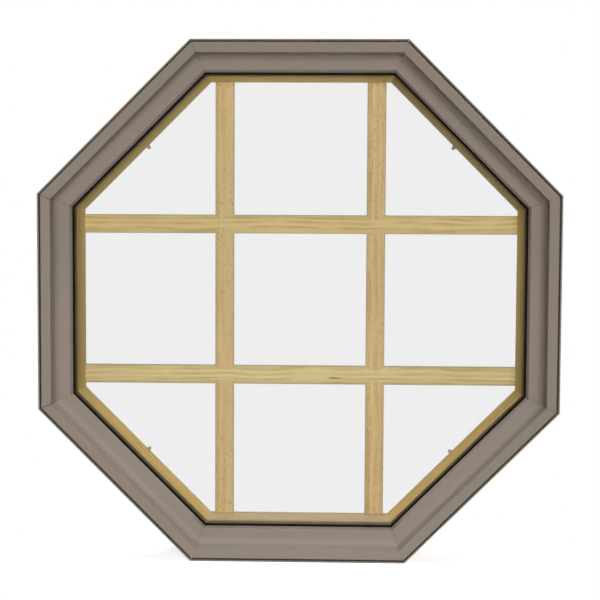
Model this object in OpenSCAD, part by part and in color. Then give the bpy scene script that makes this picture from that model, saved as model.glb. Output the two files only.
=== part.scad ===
// Fixed octagonal window: aluminium cladding outside, pine frame and grille inside, sealed double glass.
// Seen from outside: +X right, +Z up, the outside face towards -Y. The origin is under the middle of the sill.
// Sections are drawn as [distance from the window's axis, depth behind the outside face].

/* [Overall] */
// Size across the flats of the octagon
across = 597; // [450:1:900]
// Depth from the outside face to the room-side edge
frame_d = 82.5; // [76:0.5:120]

/* [Cladding] */
// Wall of the aluminium section
clad_wall = 1.6; // [1.2:0.1:2]
// How far the rim stands back from the outside face
rim_setback = 1.5; // [0.5:0.1:4]
// Width of the shadow groove inside the rim
groove_w = 2.2; // [1.5:0.1:3]
// Depth of the shadow groove
groove_d = 9; // [5:0.5:14]
// Width of the flat outer band
face_w = 11.2; // [8:0.1:18]
// Rounding of the outer band's outer edge
face_edge_r = 1; // [0.5:0.1:1.4]
// Straight part of the step behind the outer band
step_d = 18; // [14:0.5:20]
// Radius of the cove at the foot of the step
cove_r = 8.5; // [6:0.5:10]
// Width of the inner band
band_w = 8.4; // [7:0.1:13]
// Fall of the inner band towards the glass
band_fall = 0.6; // [0.3:0.1:2]
// Width of the bevelled lip
lip_w = 2.1; // [1.2:0.1:3.5]
// Depth of the bevelled lip
lip_d = 7.4; // [5:0.1:9]
// Width of the lip's foot, which presses on the gasket
foot_w = 6; // [4.5:0.1:6.5]
// Depth that the side leg covers
leg_d = 46; // [43:0.5:50]
// Joint left at each mitre of the cladding
mitre_gap = 0.2; // [0.1:0.05:0.4]
// Length of a corner key on each side of its mitre
key_l = 30; // [20:1:45]
// Thickness of a corner key
key_t = 2; // [1.5:0.1:3]
// Space on each side of a corner key
key_gap = 0.3; // [0.1:0.05:0.5]

/* [Pine frame] */
// Depth of the pine's front face, where the cladding sits
seat_d = 31; // [30.5:0.5:33]
// Overlap of the pine shoulder behind the glass
shoulder_w = 17.5; // [14:0.5:22]
// Width of the splay that opens the pine towards the glass
splay_w = 4.4; // [1:0.1:5]
// Straight part of the pine's inner face in front of the grille
splay_rest = 2.5; // [1:0.5:5]
// Eased edge on the room side
arris = 1; // [0.4:0.1:2]
// Spline across each mitre: width, both sides together
spline_w = 24; // [16:1:32]
// Spline length along the mitre
spline_l = 26; // [18:1:30]
// Spline thickness
spline_t = 5; // [4:0.5:8]
// Space round a spline
spline_gap = 0.15; // [0.05:0.05:0.3]

/* [Glass unit] */
// Thickness of each pane
pane_t = 3; // [3:0.5:4]
// Width of the space between the panes
cavity_w = 11; // [8:0.5:12]
// Cover of the glass edge behind the cladding lip
glass_cover = 10.6; // [10:0.1:13]
// Space round the glass edge
edge_gap = 3; // [2.5:0.1:4]
// Height of the spacer bar, seen from the middle of the window
spacer_h = 8.8; // [6:0.1:9.5]
// Edge seal outside the spacer bar
seal_h = 4; // [3:0.1:5]
// Thickness of the glazing gasket
gasket_t = 2.5; // [2:0.1:4]
// Gasket showing beyond the cladding lip
gasket_show = 2.3; // [1:0.1:3]
// Gasket width behind the lip
gasket_hold = 5; // [4:0.1:6]
// Gap at the gasket's butt joint
gasket_gap = 0.9; // [0.4:0.1:1.5]
// Distance of that joint from the head's right-hand corner
gasket_joint = 11; // [5:0.5:60]
// Thickness of the glazing tape
tape_t = 1.5; // [1:0.1:2]
// Width of the glazing tape
tape_w = 10.5; // [8:0.5:11]
// Distance of the tape from the glass edge
tape_inset = 1; // [0.5:0.1:2]
// Length of each setting block, at the quarter points of the sill
block_l = 60; // [40:1:75]

/* [Grille] */
// Width of a grille bar
bar_w = 22.2; // [16:0.1:26]
// Thickness of a grille bar
bar_t = 9.5; // [8.5:0.1:14]
// Flat on each face of a grille bar
bar_flat = 11.8; // [6:0.1:14]
// Depth of the bar's bevels
bar_bevel = 2.2; // [1:0.1:3]
// Ledge of pine left between a bar's end and the corner of the frame
bar_ledge = 5.7; // [3:0.1:30]
// Space between a bar's end and the pine
bar_gap = 0.4; // [0.2:0.1:0.8]
// Diameter of a grille pin
pin_d = 4.6; // [3:0.1:5]
// Length of a pin that stands out of the pine
pin_out = 4.6; // [3:0.1:6]
// Length of a pin inside the pine
pin_in = 9; // [6:0.5:14]
// Space round a pin in the end of a bar
pin_gap = 0.25; // [0.1:0.05:0.4]

/* [Screws] */
// Diameter of a cladding screw's head
screw_head_d = 6; // [5:0.1:7]
// Diameter of its shank
screw_d = 3; // [2.5:0.1:3.4]
// Length of the screw
screw_l = 15; // [12:0.5:18]
// Distance of each screw from the middle of its side
screw_x = 75; // [40:1:90]
// Depth of the screws behind the outside face
screw_at = 39; // [36:0.5:42]
// Space round a screw in the cladding
screw_gap = 0.15; // [0.1:0.05:0.3]
// Space round screws and pins in the pine
fit_gap = 0.05; // [0.02:0.01:0.1]

/* [Hidden] */
$fn = 48;
SIDE_COUNT = 8;
turn = 360 / SIDE_COUNT;
mitre = turn / 2;
over = 1;
SIDES = ["right", "upper_right", "head", "upper_left", "left", "lower_left", "sill", "lower_right"];
SILL = 6;

// Cladding, from the outside inwards
rim_r = across / 2;
rim_in_r = rim_r - clad_wall;
face_out_r = rim_in_r - groove_w;
face_in_r = face_out_r - face_w;
cove_mid_r = face_in_r - cove_r;
band_in_r = cove_mid_r - band_w;
sight_r = band_in_r - lip_w;
cove_d = step_d + cove_r;
band_d = cove_d + band_fall;
lip_end_d = band_d + lip_d;
rib_r = face_in_r - clad_wall;
rib_d = step_d + sqrt(pow(cove_r + clad_wall / 2, 2) - pow(rib_r - cove_mid_r, 2));
key_in_r = face_in_r + clad_wall + key_gap;
key_out_r = face_out_r - clad_wall - key_gap;
screw_head_h = (screw_head_d - screw_d) / 2;

// Glass unit, from the outside inwards
glass_r = sight_r + glass_cover;
glass_d = lip_end_d + gasket_t;
cavity_d = glass_d + pane_t;
inner_pane_d = cavity_d + cavity_w;
unit_end_d = inner_pane_d + pane_t;
spacer_out_r = glass_r - seal_h;
spacer_in_r = spacer_out_r - spacer_h;
gasket_in_r = sight_r - gasket_show;
gasket_out_r = sight_r + gasket_hold;
gasket_joint_x = sight_r * tan(mitre) - gasket_joint;
block_x = glass_r * tan(mitre) / 2;
shoulder_d = unit_end_d + tape_t;

// Pine frame
rabbet_r = glass_r + edge_gap;
jamb_in_r = glass_r - shoulder_w;
tape_out_r = glass_r - tape_inset;
tape_in_r = tape_out_r - tape_w;
spline_mid_r = (jamb_in_r + rim_r) / 2 / cos(mitre);
spline_mid_d = (shoulder_d + frame_d) / 2;

// Grille
bar_d = frame_d - bar_t;
splay_end_d = bar_d - splay_rest;
bar_mid_d = frame_d - bar_t / 2;
bar_half_l = jamb_in_r - bar_gap;
bar_pos = jamb_in_r * tan(mitre) - bar_ledge - bar_w / 2;
pin_r = pin_d / 2;

// Moves a shape drawn round the window's axis to its place above the sill
module placed() {
    translate([0, -frame_d / 2, across / 2]) children();
}

// Turns a shape drawn on the right-hand side to side k, counted anticlockwise from the right
module on_side(k) {
    rotate([0, -turn * k, 0]) children();
}

// Extrudes a section along its side and cuts both ends to the mitre, less half the joint
module mitred(gap = 0) {
    apex = gap / 2 / sin(mitre);
    reach = across;
    half = (reach - apex) * tan(mitre);
    intersection() {
        linear_extrude(height = across, center = true) children();
        through(-over, frame_d + over) polygon([[apex, 0], [reach, -half], [reach, half]]);
    }
}

// Extrudes an outline seen from outside between two depths
module through(from_d, to_d) {
    rotate([90, 0, 0]) translate([0, 0, -to_d]) linear_extrude(height = to_d - from_d) children();
}

module rectangle(from, to) {
    translate(from) square(to - from);
}

module octagon(apothem) {
    rotate(mitre) circle(r = apothem / cos(mitre), $fn = SIDE_COUNT);
}

// Cladding section: side leg, shadow groove and outer band, then the step, cove, inner band and lip
module cladding_section() {
    rectangle([rim_in_r, rim_setback], [rim_r, leg_d]);
    rectangle([face_out_r - clad_wall, groove_d], [rim_r, groove_d + clad_wall]);
    rectangle([face_out_r - clad_wall, face_edge_r], [face_out_r, seat_d]);
    rectangle([face_in_r, 0], [face_out_r - face_edge_r, clad_wall]);
    translate([face_out_r - face_edge_r, face_edge_r]) circle(face_edge_r);
    rectangle([rib_r, rib_d], [rib_r + clad_wall, seat_d]);
    difference() {
        polygon([
            [face_in_r, 0],
            [face_in_r + clad_wall, 0],
            [face_in_r + clad_wall, cove_d + clad_wall],
            [cove_mid_r, cove_d + clad_wall],
            [band_in_r + clad_wall, band_d + clad_wall],
            [sight_r + 2 * clad_wall, lip_end_d - clad_wall],
            [sight_r + foot_w, lip_end_d - clad_wall],
            [sight_r + foot_w, lip_end_d],
            [sight_r, lip_end_d],
            [band_in_r, band_d],
            [cove_mid_r, cove_d],
            [cove_mid_r, step_d],
            [face_in_r, step_d]]);
        cove_quarter() circle(cove_r);
        cove_quarter() difference() {
            square(2 * cove_r);
            circle(cove_r + clad_wall);
        }
    }
}

// Keeps the quarter of a shape round the cove's centre that lies towards the step and the inner band
module cove_quarter() {
    translate([cove_mid_r, step_d]) intersection() {
        children();
        square(2 * cove_r);
    }
}

module screw_places() {
    for (x = [-screw_x, screw_x])
        translate([rim_r, screw_at, x]) rotate([0, -90, 0]) children();
}

// Half section of a countersunk screw, from the rim of its flush head to its point along +Z
function screw_profile(gap) =
    let (r = screw_d / 2 + gap, end = screw_l + gap)
    [[r + screw_head_h, 0], [r, screw_head_h], [r, end - screw_d], [r / 3, end], [0, end]];

module screw() {
    rotate_extrude() polygon(concat([[0, 0]], screw_profile(0)));
}

// The hole for a screw, open past the face that its head is flush with
module screw_hole(gap) {
    rim = screw_head_d / 2 + gap;
    rotate_extrude() polygon(concat([[0, -over], [rim, -over]], screw_profile(gap)));
}

module clad_bar(k) {
    color([0.57, 0.52, 0.48]) placed() on_side(k) difference() {
        mitred(mitre_gap) cladding_section();
        screw_places() screw_hole(screw_gap);
    }
}

// A flat chevron behind the outer band, bent round each corner
module corner_keys() {
    color("silver") placed() through(clad_wall, clad_wall + key_t)
        for (k = [0 : SIDE_COUNT - 1]) rotate(turn * (k + 0.5)) intersection() {
            difference() {
                octagon_corner(key_out_r);
                octagon_corner(key_in_r);
            }
            translate([0, -key_l * cos(mitre)]) square([across, 2 * key_l * cos(mitre)]);
        }
}

// The octagon turned so that a corner points along +X
module octagon_corner(apothem) {
    circle(r = apothem / cos(mitre), $fn = SIDE_COUNT);
}

// Pine section: side rebate for the cladding leg, rabbet for the glass, shoulder and eased room edge
module jamb_section() {
    polygon([
        [rim_r, leg_d],
        [rim_in_r, leg_d],
        [rim_in_r, seat_d],
        [rabbet_r, seat_d],
        [rabbet_r, shoulder_d],
        [jamb_in_r + splay_w, shoulder_d],
        [jamb_in_r, splay_end_d],
        [jamb_in_r, frame_d - arris],
        [jamb_in_r + arris, frame_d],
        [rim_r - arris, frame_d],
        [rim_r, frame_d - arris]]);
}

module spline(gap = 0) {
    size = [spline_l + 2 * gap, spline_t + 2 * gap, spline_w + 2 * gap];
    translate([spline_mid_r, spline_mid_d, 0]) cube(size, center = true);
}

// Grille pins of side k: one at each bar end on an upright side, one in the middle of a slanted side
module pin_places(k) {
    for (x = k % 2 == 0 ? [-bar_pos, bar_pos] : [0])
        translate([jamb_in_r, bar_mid_d, x]) rotate([0, -90, 0]) children();
}

module pin() {
    tip = pin_r / 3;
    rotate_extrude() polygon([
        [0, -pin_in],
        [pin_r, -pin_in],
        [pin_r, pin_out - tip],
        [pin_r - tip, pin_out],
        [0, pin_out]]);
}

module jamb(k) {
    color([0.80, 0.70, 0.47]) placed() on_side(k) difference() {
        mitred() jamb_section();
        for (end = [-0.5, 0.5]) on_side(end) spline(spline_gap);
        screw_places() screw_hole(fit_gap);
        pin_places(k) translate([0, 0, -pin_in]) cylinder(r = pin_r + fit_gap, h = pin_in + over);
    }
}

module mitre_splines() {
    color([0.72, 0.58, 0.40]) placed() for (k = [0 : SIDE_COUNT - 1]) on_side(k + 0.5) spline();
}

module cladding_screws() {
    color("gainsboro") placed() for (k = [0 : SIDE_COUNT - 1]) on_side(k) screw_places() screw();
}

module grille_pins() {
    color([0.85, 0.83, 0.78]) placed() for (k = [0 : SIDE_COUNT - 1]) on_side(k) pin_places(k) pin();
}

module outer_pane() {
    color([0.85, 0.92, 0.92, 0.4]) placed() through(glass_d, cavity_d) octagon(glass_r);
}

module inner_pane() {
    color([0.85, 0.92, 0.92, 0.4]) placed() through(inner_pane_d, unit_end_d) octagon(glass_r);
}

module spacer_bar() {
    color("dimgray") placed() through(cavity_d, inner_pane_d) difference() {
        octagon(spacer_out_r);
        octagon(spacer_in_r);
    }
}

module edge_seal() {
    color([0.16, 0.16, 0.17]) placed() through(cavity_d, inner_pane_d) difference() {
        octagon(glass_r);
        octagon(spacer_out_r);
    }
}

// Eight-sided block whose sides slope from one apothem to another
module octagon_taper(from_r, from_d, to_r, to_d) {
    intersection_for (k = [0 : SIDE_COUNT - 1]) on_side(k)
        linear_extrude(height = across, center = true)
            polygon([[-across, from_d], [from_r, from_d], [to_r, to_d], [-across, to_d]]);
}

// Flat on the glass and held under the lip's foot; the edge that shows slopes up to the lip
module glazing_gasket() {
    slope = gasket_show / gasket_t;
    color([0.08, 0.07, 0.06]) placed() difference() {
        through(lip_end_d, glass_d) octagon(gasket_out_r);
        octagon_taper(sight_r + slope * over, lip_end_d - over, gasket_in_r - slope * over, glass_d + over);
        through(lip_end_d - over, glass_d + over) translate([gasket_joint_x, gasket_in_r - over])
            square([gasket_gap, gasket_out_r - gasket_in_r + 2 * over]);
    }
}

module glazing_tape() {
    color([0.2, 0.2, 0.2]) placed() through(unit_end_d, shoulder_d) difference() {
        octagon(tape_out_r);
        octagon(tape_in_r);
    }
}

module setting_blocks() {
    color([0.12, 0.12, 0.12]) placed() on_side(SILL) for (x = [-block_x, block_x])
        translate([glass_r, glass_d, x - block_l / 2]) cube([edge_gap, unit_end_d - glass_d, block_l]);
}

// Grille bar section: flats with bevels on both faces
module bar_section() {
    half = bar_w / 2;
    flat = bar_flat / 2;
    polygon([
        [-flat, bar_d],
        [flat, bar_d],
        [half, bar_d + bar_bevel],
        [half, frame_d - bar_bevel],
        [flat, frame_d],
        [-flat, frame_d],
        [-half, frame_d - bar_bevel],
        [-half, bar_d + bar_bevel]]);
}

module plain_bar() {
    difference() {
        linear_extrude(height = 2 * bar_half_l, center = true) bar_section();
        for (end = [0, 180]) rotate([0, end, 0]) bar_socket();
    }
}

// Blind hole in a bar's end for its pin
module bar_socket() {
    depth = pin_out - bar_gap + pin_gap;
    translate([0, bar_mid_d, bar_half_l - depth]) cylinder(r = pin_r + pin_gap, h = depth + over);
}

// What the through-running bar keeps of a crossing: its own flat, widening along the mitred bevels
module crossing_keep() {
    flat = bar_flat / 2;
    wide = bar_w / 2 + over;
    polygon([
        [-wide, -wide], [-flat, -flat], [flat, -flat], [wide, -wide],
        [wide, wide], [flat, flat], [-flat, flat], [-wide, wide]]);
}

// What the coped bar keeps of a crossing: the two tongues that narrow to the other bar's flat
module crossing_tongues() {
    flat = bar_flat / 2;
    wide = bar_w / 2 + over;
    for (side = [-1, 1])
        polygon([[-flat, side * flat], [flat, side * flat], [wide, side * wide], [-wide, side * wide]]);
}

// An upright: behind the rails at each crossing, so its front half is coped into them
module grille_upright(side) {
    color([0.83, 0.72, 0.50]) placed() translate([side * bar_pos, 0, 0]) difference() {
        plain_bar();
        for (up = [-1, 1]) translate([0, 0, up * bar_pos]) {
            through(bar_d - over, bar_mid_d) crossing_keep();
            through(bar_mid_d, frame_d + over) rotate(90) crossing_tongues();
        }
    }
}

// A rail: in front of the uprights at each crossing, so its back half is coped into them
module grille_rail(up) {
    color([0.83, 0.72, 0.50]) placed() translate([0, 0, up * bar_pos]) difference() {
        rotate([0, 90, 0]) plain_bar();
        for (side = [-1, 1]) translate([side * bar_pos, 0, 0]) {
            through(bar_d - over, bar_mid_d) crossing_tongues();
            through(bar_mid_d, frame_d + over) rotate(90) crossing_keep();
        }
    }
}

for (k = [0 : SIDE_COUNT - 1]) {
    clad_bar(k);
    jamb(k);
}
outer_pane();
inner_pane();
spacer_bar();
edge_seal();
glazing_gasket();
glazing_tape();
setting_blocks();
corner_keys();
mitre_splines();
cladding_screws();
grille_upright(-1);  // grille_upright_left
grille_upright(1);  // grille_upright_right
grille_rail(1);  // grille_rail_upper
grille_rail(-1);  // grille_rail_lower
grille_pins();
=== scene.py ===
# %% [markdown]
# # A fixed octagonal window
# This lesson dresses a measured model of an eight-sided window: painted aluminium outside, pale pine inside,
# and a sealed pair of panes between them. The solid parts arrive ready made, so Blender's job is their
# finish and the small round pieces. All lengths are metres, +Z is up, and the outside faces -Y.

# %% Load the measured parts
import math

import bpy
import numpy as np
from mathutils import Matrix, Vector


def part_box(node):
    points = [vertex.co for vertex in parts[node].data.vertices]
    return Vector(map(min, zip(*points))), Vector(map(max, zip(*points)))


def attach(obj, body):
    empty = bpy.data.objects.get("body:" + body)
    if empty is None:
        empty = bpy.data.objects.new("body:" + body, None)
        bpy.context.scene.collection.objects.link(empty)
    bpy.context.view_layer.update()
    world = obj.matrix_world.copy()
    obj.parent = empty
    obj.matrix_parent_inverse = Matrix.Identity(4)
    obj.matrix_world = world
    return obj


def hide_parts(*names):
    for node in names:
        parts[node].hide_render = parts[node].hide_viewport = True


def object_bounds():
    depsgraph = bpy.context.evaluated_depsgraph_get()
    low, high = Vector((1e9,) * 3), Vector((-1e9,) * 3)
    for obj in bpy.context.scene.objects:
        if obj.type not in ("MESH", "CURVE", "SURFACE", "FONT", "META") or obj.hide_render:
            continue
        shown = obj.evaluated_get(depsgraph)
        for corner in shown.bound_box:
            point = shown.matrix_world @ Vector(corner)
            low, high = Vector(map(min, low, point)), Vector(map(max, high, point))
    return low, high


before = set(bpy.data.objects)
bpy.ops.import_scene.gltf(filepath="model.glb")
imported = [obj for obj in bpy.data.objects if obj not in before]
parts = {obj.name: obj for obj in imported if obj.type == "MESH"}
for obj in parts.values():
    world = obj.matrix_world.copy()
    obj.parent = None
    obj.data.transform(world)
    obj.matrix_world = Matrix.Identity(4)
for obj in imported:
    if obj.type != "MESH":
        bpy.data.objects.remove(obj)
scene = bpy.context.scene
cad_low, cad_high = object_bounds()
SIDE_COUNT = 8
SIDE_TURN = 2 * math.pi / SIDE_COUNT
RIM_R = (cad_high.x - cad_low.x) / 2
FRONT_Y = cad_low.y
CENTRE = Vector((0, 0, (cad_low.z + cad_high.z) / 2))
print(f"loaded {len(parts)} parts, {2 * RIM_R:.3f} m across, {cad_high.y - cad_low.y:.4f} m deep")

# %% [markdown]
# ## The viewpoint
# The photograph was taken almost square on, from a little above and to the right. A camera can be aimed with
# a Track To constraint, but the tilt, turn and roll are known here, so its matrix is built from them. The
# window's centre is given as the lens sees it: how far right, down and away from the lens.

# %% Camera
VIEW_TILT = math.radians(3.51)
VIEW_TURN = math.radians(1.59)
VIEW_ROLL = math.radians(0.28)
SEEN_CENTRE = Vector((-0.0022, 0.0043, 1.5052))
LENS_MM = 79.4
SENSOR_MM = 36.0

# Rows turn model axes into right, down and away; the flip then gives Blender's right, up and back.
RIGHT_DOWN_AWAY = Matrix(((1, 0, 0), (0, 0, -1), (0, 1, 0)))
UP_AND_BACK = Matrix.Diagonal((1, -1, -1))
lean = Matrix.Rotation(VIEW_TILT, 3, "X") @ Matrix.Rotation(VIEW_TURN, 3, "Y")
view_turn = Matrix.Rotation(VIEW_ROLL, 3, "Z") @ lean @ RIGHT_DOWN_AWAY
face_centre = Vector((0, FRONT_Y, CENTRE.z))

camera_data = bpy.data.cameras.new("camera")
camera_data.lens = LENS_MM
camera_data.sensor_width = SENSOR_MM
camera = bpy.data.objects.new("camera", camera_data)
camera_place = face_centre - view_turn.transposed() @ SEEN_CENTRE
camera.matrix_world = Matrix.Translation(camera_place) @ (UP_AND_BACK @ view_turn).transposed().to_4x4()
scene.collection.objects.link(camera)
bpy.context.scene.camera = camera
print("camera at", [round(v, 3) for v in camera_place])

# %% [markdown]
# ## Helpers for shader trees
# A finish is a graph of nodes, the one that the Shader Editor draws. Built by hand, each node takes four or
# five lines, so these helpers add one node per call and return the socket that carries its result. A plain
# number or colour is set on a socket itself, and the result of another node is linked to it.

# %% Nodes and numbers
def add_node(tree, kind, **options):
    """Adds one node to a shader tree and sets its plain options."""
    made = tree.nodes.new(kind)
    for name, value in options.items():
        setattr(made, name, value)
    return made


def feed(tree, socket, source):
    """Links a socket to another node's output, or sets it where the source is a number or a colour."""
    if isinstance(source, bpy.types.NodeSocket):
        tree.links.new(source, socket)
    else:
        socket.default_value = source


def feed_all(tree, sockets, sources):
    """Feeds several sockets in their order."""
    for socket, source in zip(sockets, sources):
        feed(tree, socket, source)


def maths(tree, operation, *sources):
    """One Math node; its sources are sockets or numbers."""
    made = add_node(tree, "ShaderNodeMath", operation=operation)
    feed_all(tree, made.inputs, sources)
    return made.outputs[0]


def ease(tree, value, start, end, low=0.0, high=1.0):
    """A smooth step: low up to start, high from end on, an S-curve between."""
    made = add_node(tree, "ShaderNodeMapRange", interpolation_type="SMOOTHSTEP")
    feed_all(tree, made.inputs, (value, start, end, low, high))
    return made.outputs["Result"]


def diagonal(tree, first, second):
    """The length of a flat vector: the root of the sum of its two squares."""
    squares = (maths(tree, "MULTIPLY", first, first), maths(tree, "MULTIPLY", second, second))
    return maths(tree, "SQRT", maths(tree, "ADD", *squares))


def split_axes(tree, vector):
    """The X, Y and Z of a vector as three sockets."""
    made = add_node(tree, "ShaderNodeSeparateXYZ")
    tree.links.new(vector, made.inputs[0])
    return made.outputs["X"], made.outputs["Y"], made.outputs["Z"]


print("shader helpers ready")

# %% [markdown]
# ## A white studio
# A cut-out photograph has a white ground with no horizon. More light would only bleach the window. So the
# world is white just where the eye, a mirror or glass looks at it, by way of the Light Path node, and lights
# the window at a plain level for everything else. A studio is dim behind its camera, so what the panes
# mirror from in front is dim too, or a white veil would lie over the pine.

# %% World
WORLD_LEVEL = 0.08
STUDIO_DIM = 0.02
FRONT_FADE = 0.15
WHITE = (1, 1, 1, 1)

scene.view_settings.view_transform = "Standard"


def seen_ground(tree, towards_room):
    """Two sockets: whether a ray shows the ground to the eye, and how white it looks. Rays that were
    mirrored on the way find it dim where towards_room is negative."""
    path = add_node(tree, "ShaderNodeLightPath").outputs
    bent = maths(tree, "MAXIMUM", path["Is Glossy Ray"], path["Is Transmission Ray"])
    seen = maths(tree, "MAXIMUM", path["Is Camera Ray"], bent)
    mirrored = maths(tree, "MINIMUM", path["Glossy Depth"], 1.0)
    loss = ease(tree, towards_room, -FRONT_FADE, FRONT_FADE, 1.0 - STUDIO_DIM, 0.0)
    return seen, maths(tree, "SUBTRACT", 1.0, maths(tree, "MULTIPLY", mirrored, loss))


def make_world():
    """White where it is seen, a plain grey light elsewhere."""
    world = bpy.data.worlds.new("studio")
    world.use_nodes = True
    tree = world.node_tree
    direction = tree.nodes.new("ShaderNodeTexCoord").outputs["Generated"]
    seen, white = seen_ground(tree, split_axes(tree, direction)[1])
    unseen = maths(tree, "MULTIPLY", maths(tree, "SUBTRACT", 1.0, seen), WORLD_LEVEL)
    background = tree.nodes["Background"]
    background.inputs["Color"].default_value = WHITE
    tree.links.new(maths(tree, "MULTIPLY_ADD", seen, white, unseen), background.inputs["Strength"])
    return world


scene.world = make_world()
print("world: seen as white, lights at", WORLD_LEVEL)

# %% [markdown]
# ## Helpers for materials
# Every finish starts with a new material, its node tree and its Principled shader. A picture would need a UV
# map to say where it goes. The finishes here are solid patterns, so they only need the Object output of a
# Texture Coordinate node, which gives the place on the piece in metres.

# %% Materials and shaders
def new_material(name):
    """A material with its tree, its Principled shader and the place on the piece in metres."""
    material = bpy.data.materials.new(name)
    material.use_nodes = True
    tree = material.node_tree
    place = tree.nodes.new("ShaderNodeTexCoord").outputs["Object"]
    return material, tree, tree.nodes["Principled BSDF"], place


def grey_shader(tree, kind, tone):
    """A diffuse or emission shader in one grey."""
    made = add_node(tree, kind)
    made.inputs["Color"].default_value = (tone, tone, tone, 1)
    return made.outputs[0]


def join_shaders(tree, share, first, second):
    """Mixes two shaders: the first where share is 0, the second where it is 1."""
    made = add_node(tree, "ShaderNodeMixShader")
    feed_all(tree, made.inputs, (share, first, second))
    return made.outputs[0]


print("material helpers ready")

# %% [markdown]
# ## Floor
# The floor is a sheet of white paper under the sill. A shadow catcher would need compositing. Here the paper
# glows white where it is seen, like the world, and only close to the window's foot is it dimmer, so that the
# light that falls there tops it up and leaves the shadow.

# %% Paper floor
FLOOR_DROP = 0.0003
FLOOR_HALF = 4.0
FLOOR_TONE = 0.5
SHADOW_BASE = 0.8
SHADOW_TONE = 0.55
SHADOW_REACH = 0.2
FOOT_HALF_X = RIM_R * math.tan(SIDE_TURN / 2)
FOOT_HALF_Y = cad_high.y


def beyond(tree, axis, half):
    """How far a place lies beyond a half length on one axis, 0 within it."""
    return maths(tree, "MAXIMUM", maths(tree, "SUBTRACT", maths(tree, "ABSOLUTE", axis), half), 0.0)


def floor_finish():
    """Plain diffuse paper for falling light. Where it is seen it glows white, and within the shadow's reach
    of the foot it is a dimmer glow plus the light that falls there."""
    material, tree, shader, place = new_material("floor_paper")
    tree.nodes.remove(shader)
    x, y, _ = split_axes(tree, place)
    seen, white = seen_ground(tree, y)
    glow = add_node(tree, "ShaderNodeEmission")
    tree.links.new(white, glow.inputs["Strength"])
    shaded = add_node(tree, "ShaderNodeAddShader")
    tree.links.new(grey_shader(tree, "ShaderNodeEmission", SHADOW_BASE), shaded.inputs[0])
    tree.links.new(grey_shader(tree, "ShaderNodeBsdfDiffuse", SHADOW_TONE), shaded.inputs[1])
    away = diagonal(tree, beyond(tree, x, FOOT_HALF_X), beyond(tree, y, FOOT_HALF_Y))
    ground = join_shaders(tree, ease(tree, away, 0.0, SHADOW_REACH), shaded.outputs[0], glow.outputs[0])
    paper = grey_shader(tree, "ShaderNodeBsdfDiffuse", FLOOR_TONE)
    tree.links.new(join_shaders(tree, seen, paper, ground), tree.nodes["Material Output"].inputs["Surface"])
    return material


floor_corners = FLOOR_HALF * np.array(((-1, -1, 0), (1, -1, 0), (1, 1, 0), (-1, 1, 0)), float)
floor_corners[:, 2] = cad_low.z - FLOOR_DROP
floor_mesh = bpy.data.meshes.new("floor")
floor_mesh.from_pydata(floor_corners.tolist(), [], [(0, 1, 2, 3)])
floor_mesh.materials.append(floor_finish())
floor = bpy.data.objects.new("floor", floor_mesh)
scene.collection.objects.link(floor)
print("floor", 2 * FLOOR_HALF, "m wide")

# %% [markdown]
# ## Lamps
# Point lamps would cut hard shadows into the step of the frame, so these are square soft boxes. The key
# light stands in front, a little to the right and above, and leaves the step in shade on the upper sides. A
# ceiling light lifts the sill, two weak ones level with the window open the shade, and one behind keeps the
# room side from going black.

# %% Soft boxes
# Each lamp has its place, its size and its watts.
LAMPS = {
    "ceiling": ((0.3, -0.7, 5.0), 1.2, 160.0),
    "right_front": ((0.65, -2.5, 0.95), 0.8, 34.0),
    "left_front": ((-0.6, -2.5, 0.4), 0.8, 8.0),
    "low_front": ((0.0, -2.5, 0.3), 1.0, 10.0),
    "behind": ((0.0, 1.5, 1.9), 1.4, 17.0),
}


def make_lamp(name, place, size, watts):
    """A square soft box aimed at the middle of the window; only what it lights is seen, never the box."""
    data = bpy.data.lights.new(name, "AREA")
    data.size = size
    data.energy = watts
    lamp = bpy.data.objects.new(name, data)
    lamp.location = place
    lamp.rotation_euler = (CENTRE - Vector(place)).to_track_quat("-Z", "Y").to_euler()
    lamp.visible_camera = False
    lamp.visible_glossy = False
    lamp.visible_transmission = False
    scene.collection.objects.link(lamp)


for lamp_name, lamp_setting in LAMPS.items():
    make_lamp(lamp_name, *lamp_setting)
print("lamps:", ", ".join(LAMPS))

# %% [markdown]
# ## Helpers for node groups
# What several finishes share could be copied from one material to the next. A node group holds it once, with
# sockets for what differs, and a change to it reaches every finish.

# %% Groups
def new_group(name, inputs, outputs):
    """Starts a node group; inputs and outputs map each socket's name to its kind. Gives the tree with the
    sockets that come in and those that go out."""
    tree = bpy.data.node_groups.new(name, "ShaderNodeTree")
    for label, kind in inputs.items():
        tree.interface.new_socket(label, in_out="INPUT", socket_type="NodeSocket" + kind)
    for label, kind in outputs.items():
        tree.interface.new_socket(label, in_out="OUTPUT", socket_type="NodeSocket" + kind)
    return tree, tree.nodes.new("NodeGroupInput").outputs, tree.nodes.new("NodeGroupOutput").inputs


def use_group(tree, group, **sources):
    """Places a group in a tree; keyword names are its inputs with underscores for spaces."""
    made = add_node(tree, "ShaderNodeGroup", node_tree=group)
    for name, source in sources.items():
        feed(tree, made.inputs[name.replace("_", " ")], source)
    return made.outputs


print("group helpers ready")

# %% [markdown]
# ## A fine skin
# Paint, rubber and plastic are never one flat colour: each has a grain that can just be felt, and slow
# blotches. Pictures of dust and smears are one way to get them. Noise at two scales gives the same
# unevenness, stays sharp and needs no unwrapping.

# %% Node group: fine skin
NOISE_SPAN = (0.25, 0.75)
GRAIN_DETAIL = 1.0
BLOTCH_DETAIL = 3.0


def noise(tree, vector, scale, detail=2.0):
    """Cloudy noise round 0.5, with scale cells to the metre."""
    made = add_node(tree, "ShaderNodeTexNoise")
    feed(tree, made.inputs["Vector"], vector)
    feed(tree, made.inputs["Scale"], scale)
    made.inputs["Detail"].default_value = detail
    return made.outputs["Fac"]


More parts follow.
